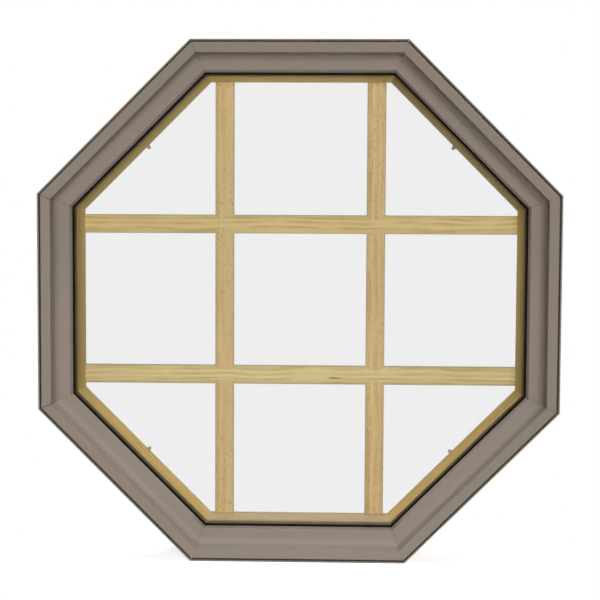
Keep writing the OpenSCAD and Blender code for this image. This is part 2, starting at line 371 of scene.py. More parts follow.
def make_skin_group():
    """Grain is quick noise and Blotch slow noise, each with its own cells to the metre, eased to 0..1."""
    inputs = {"Vector": "Vector", "Grain Scale": "Float", "Blotch Scale": "Float"}
    tree, given, put = new_group("fine_skin", inputs, {"Grain": "Float", "Blotch": "Float"})
    grain = noise(tree, given["Vector"], given["Grain Scale"], GRAIN_DETAIL)
    blotch = noise(tree, given["Vector"], given["Blotch Scale"], BLOTCH_DETAIL)
    feed(tree, put["Grain"], ease(tree, grain, *NOISE_SPAN))
    feed(tree, put["Blotch"], ease(tree, blotch, *NOISE_SPAN))
    return tree


fine_skin = make_skin_group()
print("group:", fine_skin.name)

# %% [markdown]
# ## Where a point lies on the frame
# Dirt gathers in the mitres and painted shade lies next to the glass, on all eight sides. Eight masks could
# be drawn by hand. One group folds the sides onto each other instead and says how far a point lies from the
# window's axis and from the nearest mitre.

# %% Node group: place on the frame
def make_place_group():
    """Folds the eight sides onto one: with the angle counted from the nearest side's middle, From Axis is
    the radius times its cosine and To Mitre the radius times the sine of the angle left to the mitre."""
    outputs = {"From Axis": "Float", "To Mitre": "Float"}
    tree, given, put = new_group("place_on_frame", {"Vector": "Vector"}, outputs)
    across, _, above_floor = split_axes(tree, given["Vector"])
    height = maths(tree, "SUBTRACT", above_floor, CENTRE.z)
    radius = diagonal(tree, across, height)
    angle = maths(tree, "ADD", maths(tree, "ARCTAN2", height, across), SIDE_TURN / 2)
    folded = maths(tree, "SUBTRACT", maths(tree, "FLOORED_MODULO", angle, SIDE_TURN), SIDE_TURN / 2)
    left_over = maths(tree, "SUBTRACT", SIDE_TURN / 2, maths(tree, "ABSOLUTE", folded))
    feed(tree, put["From Axis"], maths(tree, "MULTIPLY", radius, maths(tree, "COSINE", folded)))
    feed(tree, put["To Mitre"], maths(tree, "MULTIPLY", radius, maths(tree, "SINE", left_over)))
    return tree


place_on_frame = make_place_group()
print("group:", place_on_frame.name)

# %% [markdown]
# ## Dirt in the mitres
# At each corner two aluminium bars meet in a mitre. The gap is real in the measured bars, but what the eye
# sees is the dirt in it, most where the joint stands open at the left. It could be painted by hand in
# Texture Paint; as a distance from the mitre and from known places it needs no picture.

# %% Hairlines
STEP_R = 0.2835
HAIRLINE_HALF = 0.0007
HAIRLINE_SHARE = 0.1
OPEN_REACH = 0.014
# Open joints: side turns counted from the right, and how dark the dirt is.
OPEN_CORNERS = {"left_low": (4.5, 0.85), "left_high": (3.5, 0.5)}


def frame_corner(turns, apothem, depth=0.0):
    """A corner of the octagon with that apothem, by its side turns from the right and its depth."""
    radius = apothem / math.cos(SIDE_TURN / 2)
    angle = turns * SIDE_TURN
    return CENTRE.x + radius * math.cos(angle), FRONT_Y + depth, CENTRE.z + radius * math.sin(angle)


def distance_to(tree, vector, place):
    """How far a point lies from one place."""
    made = add_node(tree, "ShaderNodeVectorMath", operation="DISTANCE")
    feed(tree, made.inputs[0], vector)
    made.inputs[1].default_value = place
    return made.outputs["Value"]


def hairline_dirt(tree, place, to_mitre):
    """A line that fades over its half width, times a share that grows close to an open joint."""
    share = HAIRLINE_SHARE
    for turns, open_share in OPEN_CORNERS.values():
        gap = distance_to(tree, place, frame_corner(turns, STEP_R))
        share = maths(tree, "MAXIMUM", share, ease(tree, gap, OPEN_REACH / 2, OPEN_REACH, open_share, 0.0))
    line = ease(tree, to_mitre, HAIRLINE_HALF / 4, HAIRLINE_HALF, 1.0, 0.0)
    return maths(tree, "MULTIPLY", line, share)


print("hairlines, darker at", ", ".join(OPEN_CORNERS))

# %% [markdown]
# ## Spots and painted shade
# A dark spot sits in some corners of the step, and a grey line of painted shade lies along the lip of the
# sill.
# The spots could be modelled as tiny meshes, but they lie flat in the finish, so they are masks as well. The
# largest of all masks is the dirt and painted shade at a point.

# %% Corner spots and the sill's lip
# Spots in the step: side turns, distance from the axis, depth behind the front, reach, and how dark they are.
CORNER_SPOTS = {
    "right_high": (1.5, 0.2822, 0.022, 0.0028, 0.75),
    "left_high": (3.5, 0.2825, 0.021, 0.0016, 0.5),
    "left_low": (4.5, 0.2835, 0.010, 0.0022, 0.5),
    "right_low": (7.5, 0.2835, 0.015, 0.0024, 0.45),
}
LIP_DEEP = 0.0271
LIP_Y = FRONT_Y + LIP_DEEP
LIP_R = 0.2666
LIP_SOFT = 0.002
SILL_BELOW = 0.25
SILL_Z = CENTRE.z - SILL_BELOW
SILL_SOFT = 0.01
LIP_SHADE_SHARE = 0.4


def painted_lip_shade(tree, place, from_axis):
    """Painted shade on the sill's lip: the product of three steps, behind the inner band, within the lip's
    edge, and low at the sill.
    """
    _, y, z = split_axes(tree, place)
    deep = ease(tree, y, LIP_Y, LIP_Y + LIP_SOFT, 0.0, LIP_SHADE_SHARE)
    inside = ease(tree, from_axis, LIP_R, LIP_R + LIP_SOFT, 1.0, 0.0)
    low = ease(tree, z, SILL_Z - SILL_SOFT, SILL_Z, 1.0, 0.0)
    return maths(tree, "MULTIPLY", deep, maths(tree, "MULTIPLY", inside, low))


def cladding_dirt_and_shade(tree, place):
    """The largest of the hairline, the painted shade on the sill's lip and every corner spot."""
    where = use_group(tree, place_on_frame, Vector=place)
    line = hairline_dirt(tree, place, where["To Mitre"])
    dirt_and_shade = maths(tree, "MAXIMUM", line, painted_lip_shade(tree, place, where["From Axis"]))
    for turns, apothem, depth, reach, dark in CORNER_SPOTS.values():
        gap = distance_to(tree, place, frame_corner(turns, apothem, depth))
        dirt_and_shade = maths(tree, "MAXIMUM", dirt_and_shade, ease(tree, gap, reach / 4, reach, dark, 0.0))
    return dirt_and_shade


print("dirt:", len(CORNER_SPOTS), "spots and the sill's lip")

# %% [markdown]
# ## Helpers for colour and grain
# A colour picker shows screen values, but light adds up in linear ones, so paint() converts them. A grain
# that can just be felt is too fine to model: a Bump node tilts the shading as if it were there, and the
# outline of the piece stays as measured.

# %% Colours and dents
def paint(red, green, blue):
    """A colour written as 0 to 255 screen values, turned by the sRGB curve into linear light."""
    screen = np.array((red, green, blue)) / 255
    linear = np.where(screen <= 0.04045, screen / 12.92, ((screen + 0.055) / 1.055) ** 2.4)
    return (*linear.tolist(), 1.0)


def tint(tree, share, first, second):
    """Mixes two colours: the first where share is 0, the second where it is 1."""
    made = add_node(tree, "ShaderNodeMix", data_type="RGBA")
    colour_sockets = [socket for socket in made.inputs if socket.type == "RGBA"]
    feed_all(tree, (made.inputs["Factor"], *colour_sockets), (share, first, second))
    return next(socket for socket in made.outputs if socket.type == "RGBA")


def bump(tree, shader, height, depth):
    """Turns a height from 0 to 1 into dents of the given depth in metres on a shader's Normal."""
    made = add_node(tree, "ShaderNodeBump")
    made.inputs["Distance"].default_value = depth
    feed(tree, made.inputs["Height"], height)
    tree.links.new(made.outputs["Normal"], shader.inputs["Normal"])


def dress(node_name, material):
    """Puts a finish on a measured part in every slot it has."""
    for slot in parts[node_name].material_slots:
        slot.material = material


print("colour helpers ready")

# %% [markdown]
# ## Baked enamel
# The outside is aluminium with a taupe enamel baked on: even, satin, with the faintest orange peel. Painted
# light makes it paler towards the lower left and behind the step. One flat colour would look like plastic, so
# two close tones are mixed by the blotches of the skin, and the painted light comes on top.

# %% Enamel tones
BAND_DEEP = 0.026
BAND_Y = FRONT_Y + BAND_DEEP
LOWER_LEFT_LIGHT_SHARE = 0.28
# Painted light: the inner band's pair is paler, and a pale tone grows towards the lower left.
LIGHTER_SIDE = Vector((-0.5, 0.0, -0.85))
ENAMEL_WARM = paint(133, 120, 110)
ENAMEL_COOL = paint(128, 119, 109)
INNER_LIT_WARM = paint(141, 127, 117)
INNER_LIT_COOL = paint(136, 126, 116)
LOWER_LEFT_LIGHT = paint(164, 153, 142)


def along_direction(tree, vector, direction):
    """How far a point lies from the window's centre along a direction: their dot product."""
    made = add_node(tree, "ShaderNodeVectorMath", operation="DOT_PRODUCT")
    feed(tree, made.inputs[0], vector)
    made.inputs[1].default_value = direction
    return maths(tree, "SUBTRACT", made.outputs["Value"], CENTRE.dot(direction))


def enamel_colour(tree, place, blotch):
    """Warm and cool taupe mixed by the blotches, then a paler pair from the front to the inner band as
    painted light, then a pale tone of painted light by how far a point lies towards the lower left."""
    inner_lit = ease(tree, split_axes(tree, place)[1], FRONT_Y, BAND_Y)
    open_tone = tint(tree, blotch, ENAMEL_COOL, ENAMEL_WARM)
    inner_lit_tone = tint(tree, blotch, INNER_LIT_COOL, INNER_LIT_WARM)
    to_lighter_side = along_direction(tree, place, LIGHTER_SIDE)
    lower_left_lit = ease(tree, to_lighter_side, -RIM_R, RIM_R, 0.0, LOWER_LEFT_LIGHT_SHARE)
    return tint(tree, lower_left_lit, tint(tree, inner_lit, open_tone, inner_lit_tone), LOWER_LEFT_LIGHT)


print("enamel tones: open, sheltered and", round(100 * LOWER_LEFT_LIGHT_SHARE), "percent painted_light")

# %% [markdown]
# ## Enamel on the bars
# Tones, dirt and painted light and shade now come together with a satin sheen. Each bar could have a material
# of its own, but the masks know where a point lies on the frame, so one material serves all eight bars.

# %% Cladding enamel
ENAMEL_GRAIN = 1400.0
ENAMEL_BLOTCH = 9.0
ENAMEL_ROUGH = (0.42, 0.5)
ENAMEL_SHINE = 0.35
PEEL_DEPTH = 0.00003
# Dark tone for dirt in the joints and spots, and for painted shade on the sill's lip.
JOINT_DIRT_AND_SHADE = paint(62, 54, 48)


def enamel_finish():
    """The taupe with dirt and painted shade over it, a roughness that follows the blotches, and a fine peel
    in the bump.
    """
    material, tree, shader, place = new_material("taupe_enamel")
    skin = use_group(tree, fine_skin, Vector=place, Grain_Scale=ENAMEL_GRAIN, Blotch_Scale=ENAMEL_BLOTCH)
    colour = enamel_colour(tree, place, skin["Blotch"])
    tree.links.new(tint(tree, cladding_dirt_and_shade(tree, place), colour, JOINT_DIRT_AND_SHADE), shader.inputs["Base Color"])
    feed(tree, shader.inputs["Roughness"], ease(tree, skin["Blotch"], 0.0, 1.0, *ENAMEL_ROUGH))
    shader.inputs["Specular IOR Level"].default_value = ENAMEL_SHINE
    bump(tree, shader, skin["Grain"], PEEL_DEPTH)
    return material


enamel = enamel_finish()
clad_names = [name for name in parts if name.startswith("clad_")]
for clad_name in clad_names:
    dress(clad_name, enamel)
print(f"{enamel.name} on {len(clad_names)} cladding bars")

# %% [markdown]
# ## Pine
# Sawn pine shows growth rings as long wavy streaks, fine fibres, and short dark flecks where resin ducts are
# cut. A photograph of wood could be wrapped round each piece, but it would stretch on the mitres. Here the
# wood is a solid pattern: rings round a line beside the board, so every cut face shows the right figure.

# %% Growth rings
# Cells to the metre, along and across the grain.
WANDER_CELLS = (9.0, 24.0)
FADE_CELLS = (24.0, 90.0)
RING_SWAY = 0.012
RING_RISE = (0.2, 0.85)
RING_DROP = (0.9, 1.0)
FADE_SPAN = (0.3, 0.65)
FADE_LEAST = 0.15


def grain_noise(tree, vector, cells, detail=2.0):
    """Noise drawn out along X: each axis is multiplied by its cells to the metre."""
    along, across = cells
    made = add_node(tree, "ShaderNodeVectorMath", operation="MULTIPLY")
    feed(tree, made.inputs[0], vector)
    made.inputs[1].default_value = (along, across, across)
    return noise(tree, made.outputs[0], 1.0, detail)


def growth_rings(tree, vector, ring_width):
    """The distance from the X axis, swayed by slow noise and divided by the ring width. Its fraction
    darkens slowly over a ring and drops at the ring's end, and slow noise fades whole stretches."""
    _, depth, height = split_axes(tree, vector)
    wander = maths(tree, "SUBTRACT", grain_noise(tree, vector, WANDER_CELLS), 0.5)
    radius = diagonal(tree, maths(tree, "MULTIPLY_ADD", wander, RING_SWAY, height), depth)
    phase = maths(tree, "FRACT", maths(tree, "DIVIDE", radius, ring_width))
    ring = maths(tree, "MULTIPLY", ease(tree, phase, *RING_RISE), ease(tree, phase, *RING_DROP, 1.0, 0.0))
    fade = ease(tree, grain_noise(tree, vector, FADE_CELLS), *FADE_SPAN, FADE_LEAST, 1.0)
    return maths(tree, "MULTIPLY", ring, fade)


print(f"rings sway by {1000 * RING_SWAY:.0f} mm")

# %% [markdown]
# ## The figure of pine
# Rings alone look like a drawing of wood. Fibres, resin flecks and warmer patches make it pine, and they are
# noise at other lengths along and across the grain. One group adds them up, so every board is made of the
# same wood and only the sockets tell boards apart.

# %% Node group: pine figure
# Cells to the metre, along and across the grain.
FIBRE_CELLS = (14.0, 800.0)
FLECK_CELLS = (230.0, 1000.0)
PATCH_CELLS = (9.0, 60.0)
FIBRE_DETAIL = 3.0
FLECK_DETAIL = 1.0
FLECK_SPAN = (0.62, 0.72)
PATCH_SPAN = (0.35, 0.7)
FIBRE_SHARE = 0.22
PATCH_SHARE = 0.6
FIBRE_RISE = 0.6
PINE_ROUGH = (0.45, 0.6)


def make_pine_group():
    """X runs along the grain. Rings, fibres and flecks, each times its share, add up to the part of the
    deep tone in a pale ground with patches of blush. In the bump fibres stand up and flecks are sunk."""
    inputs = {
        "Vector": "Vector", "Ring Width": "Float", "Ring Share": "Float", "Fleck Share": "Float",
        "Pale": "Color", "Deep": "Color", "Blush": "Color"}
    outputs = {"Color": "Color", "Height": "Float", "Roughness": "Float"}
    tree, given, put = new_group("pine_figure", inputs, outputs)
    vector = given["Vector"]
    ring = growth_rings(tree, vector, given["Ring Width"])
    fibre = ease(tree, grain_noise(tree, vector, FIBRE_CELLS, FIBRE_DETAIL), *NOISE_SPAN)
    fleck = ease(tree, grain_noise(tree, vector, FLECK_CELLS, FLECK_DETAIL), *FLECK_SPAN)
    patch = ease(tree, grain_noise(tree, vector, PATCH_CELLS), *PATCH_SPAN)
    ring_dark = maths(tree, "MULTIPLY", ring, given["Ring Share"])
    fibre_dark = maths(tree, "MULTIPLY_ADD", fibre, FIBRE_SHARE, ring_dark)
    dark = maths(tree, "MULTIPLY_ADD", fleck, given["Fleck Share"], fibre_dark)
    ground = tint(tree, maths(tree, "MULTIPLY", patch, PATCH_SHARE), given["Pale"], given["Blush"])
    feed(tree, put["Color"], tint(tree, dark, ground, given["Deep"]))
    feed(tree, put["Height"], maths(tree, "SUBTRACT", maths(tree, "MULTIPLY", fibre, FIBRE_RISE), fleck))
    feed(tree, put["Roughness"], ease(tree, fibre, 0.0, 1.0, *PINE_ROUGH))
    return tree


pine_figure = make_pine_group()
print("group:", pine_figure.name)

# %% [markdown]
# ## A finish for each piece of pine
# No two boards come from the same place in the tree. One material for all would show the same streaks on
# every side, so each frame member and each grille bar gets its own. A Mapping node turns the pattern to the
# piece's run, moves it along the log, and puts the pith to one side at its own distance.

# %% Pine finish
# Pale, deep and blush tone of each kind of board. The frame kinds differ partly as painted light and shade
# on the sides they dress.
PINE_TONES = {
    "frame": (paint(216, 190, 126), paint(166, 139, 76), paint(208, 176, 114)),
    "light_frame": (paint(231, 202, 130), paint(180, 149, 78), paint(224, 188, 118)),
    "dark_frame": (paint(196, 172, 118), paint(150, 126, 74), paint(188, 159, 107)),
    "sill": (paint(204, 182, 140), paint(166, 137, 93), paint(200, 173, 130)),
    "upright": (paint(230, 203, 147), paint(177, 144, 90), paint(222, 190, 138)),
    "rail": (paint(231, 209, 150), paint(188, 158, 96), paint(223, 201, 140)),
    "pale_rail": (paint(234, 216, 161), paint(192, 166, 106), paint(228, 208, 150)),
}
# Brown for the knot's stain and for painted shade on the pine next to the glass.
STAIN_AND_SHADE_BROWN = paint(141, 114, 48)
# Grey for painted shade on the edges of the bars and of the frame towards the room.
EDGE_SHADE_GREY = paint(172, 163, 140)
LOG_STEP = 0.83
PINE_SHINE = 0.08
GRAIN_DENT = 0.00008


def lay_log(tree, place, run_angle, pith):
    """A place as the log sees it: turned in the window's plane so that X follows the run, then moved."""
    mapping = add_node(tree, "ShaderNodeMapping")
    mapping.inputs["Rotation"].default_value = (0, run_angle, 0)
    mapping.inputs["Location"].default_value = pith - Matrix.Rotation(run_angle, 3, "Y") @ CENTRE
    tree.links.new(place, mapping.inputs["Vector"])
    return mapping.outputs[0]


def pine_finish(name, tones, run_angle, from_centre, figure, order, stain_and_shade, edge_shade):
    """The figure holds the pith's offset in depth and to the side, the ring width, and the ring and fleck
    shares. The stain function says how much brown is mixed in at a place, as a real stain or as painted
    shade, and the edge function how much grey, as painted shade."""
    pith_depth, pith_side, ring_width, ring_share, fleck_share = figure
    pale, deep, blush = PINE_TONES[tones]
    material, tree, shader, place = new_material(name)
    pith = Vector((order * LOG_STEP, pith_depth, from_centre + pith_side))
    in_log = lay_log(tree, place, run_angle, pith)
    wood = use_group(
        tree, pine_figure, Vector=in_log, Ring_Width=ring_width, Ring_Share=ring_share,
        Fleck_Share=fleck_share, Pale=pale, Deep=deep, Blush=blush)
    stained_and_shaded = tint(tree, stain_and_shade(tree, place), wood["Color"], STAIN_AND_SHADE_BROWN)
    across = maths(tree, "SUBTRACT", split_axes(tree, in_log)[2], pith_side)
    tree.links.new(tint(tree, edge_shade(tree, place, across), stained_and_shaded, EDGE_SHADE_GREY), shader.inputs["Base Color"])
    tree.links.new(wood["Roughness"], shader.inputs["Roughness"])
    shader.inputs["Specular IOR Level"].default_value = PINE_SHINE
    bump(tree, shader, wood["Height"], GRAIN_DENT)
    return material


print("pine tones:", ", ".join(PINE_TONES))

# %% [markdown]
# ## Painted shade on the frame
# Brown painted shade darkens the wood next to the glass, and grey painted shade the edge towards the room.
# Vertex colours could hold both, but the members have few corners to carry them. Here they follow from where
# a point lies on the frame, with one pair of functions for all eight.

# %% Painted shade on the pine
SHADE_REACH = 0.017
SHADE_R = 0.264
SHADE_FADE = 0.004
ARRIS_R = 0.2535
ARRIS_SOFT = 0.004
EDGE_SHADE_SHARE = 0.75
GLASS_BACK_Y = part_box("inner_pane")[1].y


def painted_glass_shade(share):
    """Painted shade: full at the glass, gone a little way towards the room, and only on faces near the
    window's axis.
    """
    def stain_and_shade(tree, place):
        y = split_axes(tree, place)[1]
        near_glass = ease(tree, y, GLASS_BACK_Y, GLASS_BACK_Y + SHADE_REACH, share, 0.0)
        from_axis = use_group(tree, place_on_frame, Vector=place)["From Axis"]
        inner_face = ease(tree, from_axis, SHADE_R, SHADE_R + SHADE_FADE, 1.0, 0.0)
        return maths(tree, "MULTIPLY", near_glass, inner_face)
    return stain_and_shade


def shaded_arris(tree, place, across):
    """Painted shade on the inner edge towards the room: a step in depth times a step away from the axis."""
    y = split_axes(tree, place)[1]
    near_room = ease(tree, y, cad_high.y - ARRIS_SOFT, cad_high.y, 0.0, EDGE_SHADE_SHARE)
    from_axis = use_group(tree, place_on_frame, Vector=place)["From Axis"]
    inner_face = ease(tree, from_axis, ARRIS_R, ARRIS_R + ARRIS_SOFT / 2, 1.0, 0.0)
    return maths(tree, "MULTIPLY", near_room, inner_face)


print(f"stain reaches {1000 * SHADE_REACH:.0f} mm from the glass at y = {GLASS_BACK_Y:.4f}")

# %% [markdown]
# ## Frame members
# Eight mitred members make the frame behind the glass. Each is another board: a loop over the sides gives it
# a tone that is partly painted light and shade, painted shade by the glass that is weakest at the bottom,
# and its own pith. Typing eight materials would do the same at eight times the length.

# %% Pine frame
PITH_DEPTHS = (0.02, 0.009, -0.002)
PITH_SIDES = (0.05, 0.062, 0.074, 0.086)
FRAME_RING = 0.0036
FRAME_RING_SHARE = 0.5
FRAME_FLECK_SHARE = 0.3
# Tones, partly painted light and shade, and the share of painted shade by the glass of each side, counted
# from the right against the clock.
SIDE_WOOD = {
    "right": ("light_frame", 0.63),
    "upper_right": ("dark_frame", 0.63),
    "head": ("light_frame", 0.46),
    "upper_left": ("frame", 0.62),
    "left": ("frame", 0.55),
    "lower_left": ("light_frame", 0.2),
    "sill": ("sill", 0.13),
    "lower_right": ("light_frame", 0.06),
}

jamb_low, jamb_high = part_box("jamb_right")
jamb_mid_r = (jamb_low.x + jamb_high.x) / 2
for order, (side, (jamb_tones, shade_share)) in enumerate(SIDE_WOOD.items()):
    pith_depth = PITH_DEPTHS[order % len(PITH_DEPTHS)]
    pith_side = PITH_SIDES[order % len(PITH_SIDES)]
    jamb_figure = (pith_depth, pith_side, FRAME_RING, FRAME_RING_SHARE, FRAME_FLECK_SHARE)
    jamb_run = order * SIDE_TURN + math.pi / 2
    jamb_pine = pine_finish(
        "frame_pine_" + side, jamb_tones, jamb_run, jamb_mid_r, jamb_figure, order, painted_glass_shade(shade_share),
        shaded_arris)
    dress("jamb_" + side, jamb_pine)
print("frame members in pine:", ", ".join(SIDE_WOOD))

# %% [markdown]
# ## A knot and painted edge shade on the bars
# The long edges of the grille bars are darkened grey with painted shade, and the lower rail has a small pin
# knot. A knot could be modelled as a plug, but a real one is planed flush, so it is a stain in the shape of a
# long ellipse.

# %% Knot and painted edge shade
EDGE_SOFT = 0.002
KNOT_LONG = 0.011
KNOT_FLATTEN = Vector((1.0, 1.0, 7.0))
KNOT_DARK = 0.85
KNOT_X = 0.0415
KNOT_DROP = 0.0033
bar_low, bar_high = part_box("grille_upright_right")
bar_x = (bar_low.x + bar_high.x) / 2
bar_half = (bar_high.x - bar_low.x) / 2
KNOT_AT = Vector((KNOT_X, bar_low.y, CENTRE.z - bar_x - KNOT_DROP))


def no_stain(tree, place):
    """Clean wood."""
    return 0.0


def knot_stain(tree, place):
    """An ellipse: heights are stretched before the distance from the knot's middle is taken."""
    made = add_node(tree, "ShaderNodeVectorMath", operation="MULTIPLY")
    feed(tree, made.inputs[0], place)
    made.inputs[1].default_value = KNOT_FLATTEN
    reach = distance_to(tree, made.outputs[0], KNOT_FLATTEN * KNOT_AT)
    return ease(tree, reach, KNOT_LONG / 3, KNOT_LONG, KNOT_DARK, 0.0)


def shaded_bar_edges(tree, place, across):
    """Painted shade on both long edges of a bar: the last millimetres of its half width."""
    return ease(tree, maths(tree, "ABSOLUTE", across), bar_half - EDGE_SOFT, bar_half, 0.0, EDGE_SHADE_SHARE)


print(f"bars {2000 * bar_half:.1f} mm wide, knot at x = {KNOT_X} m")

# %% [markdown]
# ## Grille bars
# Two uprights and two rails divide the view into nine lights. The uprights are cut so that resin ducts show
# as flecks, the rails so that rings show. A random seed for each bar would be quicker, but then the figure
# could not be chosen, so a table gives each bar its pith, ring width and shares of rings and flecks.

# %% Pine bars
UPRIGHT_RUN = math.pi / 2
RAIL_RUN = 0.0
# Tones, run, distance of the bar from the centre line, figure and stain.
BARS = {
    "grille_upright_left": ("upright", UPRIGHT_RUN, -bar_x, (0.03, 0.02, 0.0030, 0.25, 0.95), no_stain),
    "grille_upright_right": ("upright", UPRIGHT_RUN, bar_x, (0.035, -0.03, 0.0034, 0.35, 0.9), no_stain),
    "grille_rail_upper": ("rail", RAIL_RUN, -bar_x, (0.012, 0.04, 0.0044, 0.6, 0.2), no_stain),
    "grille_rail_lower": ("pale_rail", RAIL_RUN, bar_x, (0.010, -0.05, 0.0047, 0.6, 0.2), knot_stain),
}
for order, (bar, (tones, run, from_centre, figure, stain_and_shade)) in enumerate(BARS.items(), SIDE_COUNT):
    dress(bar, pine_finish(bar + "_pine", tones, run, from_centre, figure, order, stain_and_shade, shaded_bar_edges))
print("grille bars:", ", ".join(BARS))

# %% [markdown]
# ## Glass
# Each pane is a solid sheet of clear glass, so the ground behind it loses a little light at every surface
# and looks faintly grey. Refracting glass would also stop the lamps in Cycles, which only bends light that
# it traces from the eye, so light that falls on the pine passes through a plain transparent shader instead.

# %% Panes
GLASS_CLEAR = paint(255, 255, 255)
GLASS_FILM = paint(254.5, 254.6, 254.5)
GLASS_GRAIN = 60.0
GLASS_BLOTCH = 5.0
GLASS_IOR = 1.5
FALLING_CLEAR = (0.99, 0.99, 0.99, 1)


def glass_finish():
    """Clear float glass with the faintest uneven film; falling light takes the transparent shader."""
    material, tree, shader, place = new_material("clear_glass")
    skin = use_group(tree, fine_skin, Vector=place, Grain_Scale=GLASS_GRAIN, Blotch_Scale=GLASS_BLOTCH)
    tree.links.new(tint(tree, skin["Blotch"], GLASS_CLEAR, GLASS_FILM), shader.inputs["Base Color"])
    shader.inputs["Roughness"].default_value = 0.0
    shader.inputs["IOR"].default_value = GLASS_IOR
    shader.inputs["Transmission Weight"].default_value = 1.0
    through = add_node(tree, "ShaderNodeBsdfTransparent")
    through.inputs["Color"].default_value = FALLING_CLEAR
    path = add_node(tree, "ShaderNodeLightPath").outputs
    falling = maths(tree, "MAXIMUM", path["Is Shadow Ray"], path["Is Diffuse Ray"])
    mixed = join_shaders(tree, falling, shader.outputs[0], through.outputs[0])
    tree.links.new(mixed, tree.nodes["Material Output"].inputs["Surface"])
    return material


clear_glass = glass_finish()
for pane in ("outer_pane", "inner_pane"):
    dress(pane, clear_glass)
print("panes in", clear_glass.name)

# %% [markdown]
# ## Rubber, foam and small fittings
# The black gasket, the dark spacer round the sealed space, the hidden tapes and blocks and the small metal
# parts share one kind of finish: two close tones with a fine grain. Each could have its own node tree, but a
# short table and one function say plainly in what they differ.

# %% Skinned finishes
# Light and dark tone, roughness, grain cells to the metre, depth of the grain, and the parts that wear it.
# The dark spacer's brown tone is partly painted shade and a painted reflection of the pine.
SKINS = {
    "black_rubber": ((34, 25, 17), (20, 15, 10), 0.75, 2200.0, 0.00004, ("glazing_gasket",)),
    "dark_spacer": ((100, 89, 65), (84, 74, 53), 0.55, 1500.0, 0.00003, ("spacer_bar",)),
    "seal_black": (
        (38, 38, 40), (28, 28, 30), 0.7, 1200.0, 0.00005, ("edge_seal", "glazing_tape", "setting_blocks")),
    "splines_beech": ((196, 158, 112), (176, 138, 94), 0.6, 900.0, 0.00005, ("mitre_splines",)),
    "nylon": ((188, 170, 154), (172, 152, 136), 0.45, 1800.0, 0.00002, ("grille_pins",)),
}
METALS = {
    "mill_aluminium": ((196, 197, 198), (178, 179, 181), 0.38, 1600.0, 0.00002, ("corner_keys",)),
    "zinc_plate": ((190, 190, 186), (160, 158, 150), 0.34, 2600.0, 0.00002, ("cladding_screws",)),
}
SKIN_BLOTCH = 35.0
SKIN_SHINE = 0.1
BLOTCH_SHARE = 0.6
SMOOTHER = 0.05
ROUGHER = 0.08


def skin_finish(name, light, dark, roughness, grain_scale, depth, metallic):
    """Two close colours mixed by blotches and grain, the grain also in the roughness and as a fine bump."""
    material, tree, shader, place = new_material(name)
    skin = use_group(tree, fine_skin, Vector=place, Grain_Scale=grain_scale, Blotch_Scale=SKIN_BLOTCH)
    grain = maths(tree, "MULTIPLY", skin["Grain"], 1.0 - BLOTCH_SHARE)
    mottle = maths(tree, "MULTIPLY_ADD", skin["Blotch"], BLOTCH_SHARE, grain)
    tree.links.new(tint(tree, mottle, paint(*dark), paint(*light)), shader.inputs["Base Color"])
    rough = ease(tree, skin["Grain"], 0.0, 1.0, roughness - SMOOTHER, roughness + ROUGHER)
    feed(tree, shader.inputs["Roughness"], rough)
    shader.inputs["Metallic"].default_value = metallic
    shader.inputs["Specular IOR Level"].default_value = SKIN_SHINE
    bump(tree, shader, skin["Grain"], depth)
    return material


finishes = {}
for table, metallic in ((SKINS, 0.0), (METALS, 1.0)):
    for name, (*look, dressed) in table.items():
        finishes[name] = skin_finish(name, *look, metallic)
        for node_name in dressed:
            dress(node_name, finishes[name])
print("skins:", ", ".join(finishes))

# %% [markdown]
# ## Places round the frame
# Screws and pins point at the window's axis from all eight sides. Each could be an object that is turned and
# moved, but pieces here stay unturned at the origin, so the turning is done on the points. For that each
# side gets three axes of its own.

# %% Axes of the sides
def side_axes(turns):
    """For each side turn, three rows: along the side, into the depth, and inwards to the window's axis.
    With the turn's angle these are (-sin, 0, cos), (0, 1, 0) and (-cos, 0, -sin)."""
    angle = np.asarray(turns, float) * SIDE_TURN
    zero = np.zeros_like(angle)
    along = np.stack((-np.sin(angle), zero, np.cos(angle)), -1)
    depth = np.stack((zero, zero + 1, zero), -1)
    inwards = np.stack((-np.cos(angle), zero, -np.sin(angle)), -1)
    return np.stack((along, depth, inwards), 1)


def on_frame(turns, apothem, along, depth):
    """Places on the frame: out from the axis by the apothem, along the side, and at a depth."""
    side, inner, inwards = np.moveaxis(side_axes(turns), 1, 0)
    return np.array(CENTRE) - apothem * inwards + np.asarray(along)[:, None] * side + depth * inner


print("a side's axes:", side_axes([0]).round(3).tolist())

# %% [markdown]
# ## Turned pieces
# Screws and pins are round, so each is a profile carried round an axis. Blender's Spin or Screw tools would
# do it by hand. Here one grid of rings and segments is worked out as a whole array, then copied to every
# place with a matrix product.

# %% Grids round an axis
def round_grid(radius, height, angle):
    """Rings of points: radius times the cosine and sine of the angle, and the height along the axis."""
    radius, height, angle = np.broadcast_arrays(radius, height, angle)
    return np.stack((radius * np.cos(angle), radius * np.sin(angle), height), -1)


def grid_faces(copies, rings, segments):
    """Quads between neighbouring rings, round to the first segment again, and a cap on each end ring."""
    here = np.arange(segments)
    after = np.roll(here, -1)
    row = np.arange(rings - 1)[:, None] * segments
    next_row = row + segments
    quads = np.stack((row + here, row + after, next_row + after, next_row + here), -1).reshape(-1, 4)
    caps = np.stack((here[::-1], (rings - 1) * segments + here))
    start = (np.arange(copies) * rings * segments)[:, None, None]
    return (start + quads).reshape(-1, 4), (start + caps).reshape(-1, segments)


print("quads and caps on 3 rings of 8:", [len(faces) for faces in grid_faces(1, 3, 8)])

# %% [markdown]
# ## One mesh for all copies
# Sixteen screws could be sixteen linked objects. They never move on their own, so one mesh holds all copies.
# Shading is smooth except across sharp edges, as Shade Auto Smooth makes it.

# %% Copies in one mesh
SHARP_ANGLE = math.radians(35)


